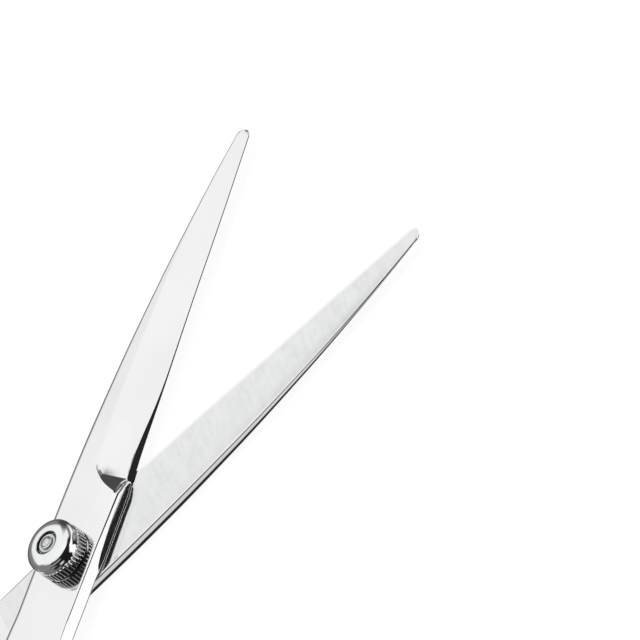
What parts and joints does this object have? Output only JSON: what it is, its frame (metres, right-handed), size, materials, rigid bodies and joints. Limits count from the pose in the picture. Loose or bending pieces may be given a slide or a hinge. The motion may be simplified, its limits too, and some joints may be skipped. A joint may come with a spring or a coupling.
{
  "type": "hair cutting shears",
  "caption": "Right-handed hair cutting shears with pivoting blades, a knurled tension dial, finger bows, a finger rest and a bumper.",
  "frame": {"origin": "centre of the flat underside of the pivot bolt's head, on the pivot axis", "axes": "+Z along the pivot axis from the bolt head towards the tension dial; +Y midway between the two blades at rest, towards the tips; +X towards the thumb blade's tip"},
  "size_m": [0.111, 0.1522, 0.0095],
  "materials": {
    "mirror_steel": "mirror-polished stainless steel",
    "ground_steel": "fine satin, ground across the blade, with a polished hone line at the edge",
    "dial_chrome": "bright chrome plate over a knurled and turned body",
    "spring_steel": "plain spring steel",
    "bronze": "turned",
    "nylon": "natural, matt",
    "rubber": "moulded, matt"
  },
  "bodies": {
    "finger_half": {"finger_blade": "mirror_steel", "finger_handle": "mirror_steel", "finger_rest": "mirror_steel", "finger_rest_stud": "ground_steel", "bumper": "rubber", "bumper_stud": "ground_steel", "pivot_bush": "bronze", "ride_washer": "nylon"},
    "thumb_half": {"thumb_blade": "mirror_steel", "thumb_handle": "mirror_steel", "pivot_bolt": "ground_steel", "click_plate": "ground_steel", "click_spring": "spring_steel", "disc_spring_lower": "spring_steel", "disc_spring_upper": "spring_steel", "lock_screw": "ground_steel"},
    "dial": {"tension_knob": "dial_chrome", "knob_insert": "bronze"}
  },
  "joints": [
    {"name": "blade_pivot", "type": "hinge", "parent": "finger_half", "child": "thumb_half", "pos_m": [0, 0, 0], "axis": [0, 0, 1], "range_deg": [-97.7, 37.3]},
    {"name": "tension_dial", "type": "hinge", "parent": "thumb_half", "child": "dial", "pos_m": [0, 0, 0], "axis": [0, 0, 1], "range_deg": [-180, 180]}
  ]
}
